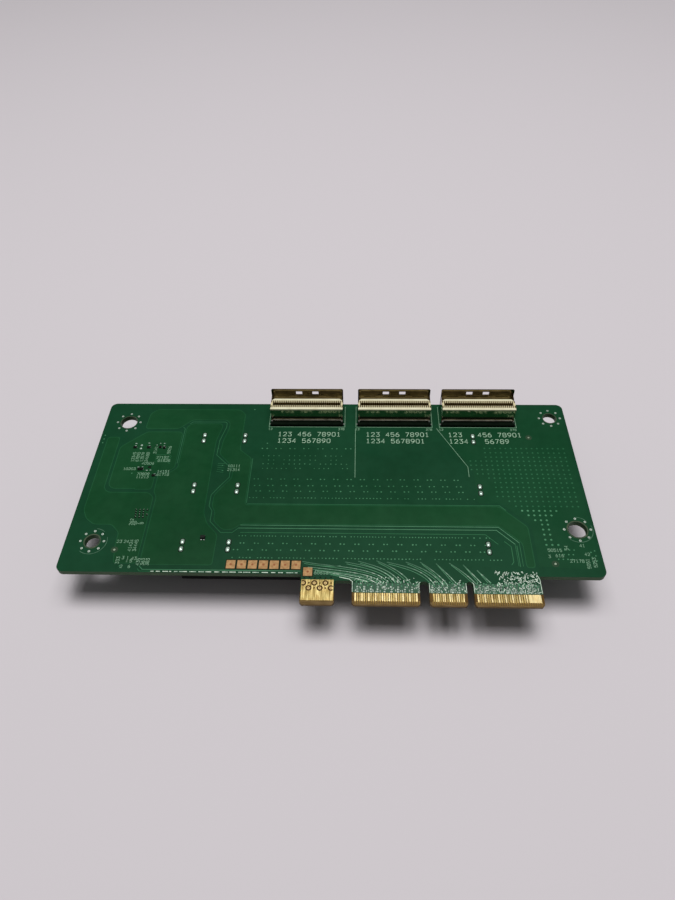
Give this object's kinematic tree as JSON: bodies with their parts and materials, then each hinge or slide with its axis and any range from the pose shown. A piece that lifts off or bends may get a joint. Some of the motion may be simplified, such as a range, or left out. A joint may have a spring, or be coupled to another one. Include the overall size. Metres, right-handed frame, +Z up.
{
  "type": "riser card",
  "caption": "Green circuit board with card slots on its underside, upright cable connectors along its back edge and a gold edge connector along its front.",
  "frame": {"origin": "centre of the bounding box, at the level of the slot mouths that the card lies on", "axes": "+X along the card, +Y from the gold edge towards the cable connectors, +Z up out of the solder side"},
  "size_m": [0.15, 0.0738, 0.0212],
  "materials": {
    "board": "glass-fibre board under green solder mask",
    "gold": "hard gold plating",
    "copper": "bare copper",
    "slot_plastic": "moulded black",
    "contact_metal": "gold over nickel",
    "tinned_metal": "tinned",
    "solder": "bright solder",
    "cream_plastic": "moulded cream",
    "dark_shell": "dark brown-black, glossy",
    "black_plastic": "moulded black",
    "chip": "glazed black"
  },
  "bodies": {
    "root": {"circuit_board": "board", "edge_contacts_top": "gold", "edge_contacts_bottom": "gold", "power_tab_top": "gold", "power_tab_bottom": "gold", "copper_pads": "copper", "slot_1_housing": "slot_plastic", "slot_1_contacts_front": "contact_metal", "slot_1_contacts_rear": "contact_metal", "slot_1_board_locks": "tinned_metal", "slot_1_solder": "solder", "slot_2_housing": "slot_plastic", "slot_2_contacts_front": "contact_metal", "slot_2_contacts_rear": "contact_metal", "slot_2_board_locks": "tinned_metal", "slot_2_solder": "solder", "slot_3_housing": "slot_plastic", "slot_3_contacts_front": "contact_metal", "slot_3_contacts_rear": "contact_metal", "slot_3_board_locks": "tinned_metal", "slot_3_solder": "solder", "cable_1_housing": "cream_plastic", "cable_1_contacts_front": "contact_metal", "cable_1_contacts_rear": "contact_metal", "cable_1_shell": "dark_shell", "cable_1_base": "black_plastic", "cable_1_hold_downs": "tinned_metal", "cable_2_housing": "cream_plastic", "cable_2_contacts_front": "contact_metal", "cable_2_contacts_rear": "contact_metal", "cable_2_shell": "dark_shell", "cable_2_base": "black_plastic", "cable_2_hold_downs": "tinned_metal", "cable_3_housing": "cream_plastic", "cable_3_contacts_front": "contact_metal", "cable_3_contacts_rear": "contact_metal", "cable_3_shell": "dark_shell", "cable_3_base": "black_plastic", "cable_3_hold_downs": "tinned_metal", "chip_parts": "chip", "regulator_body": "black_plastic", "regulator_leads": "tinned_metal"}
  },
  "joints": []
}
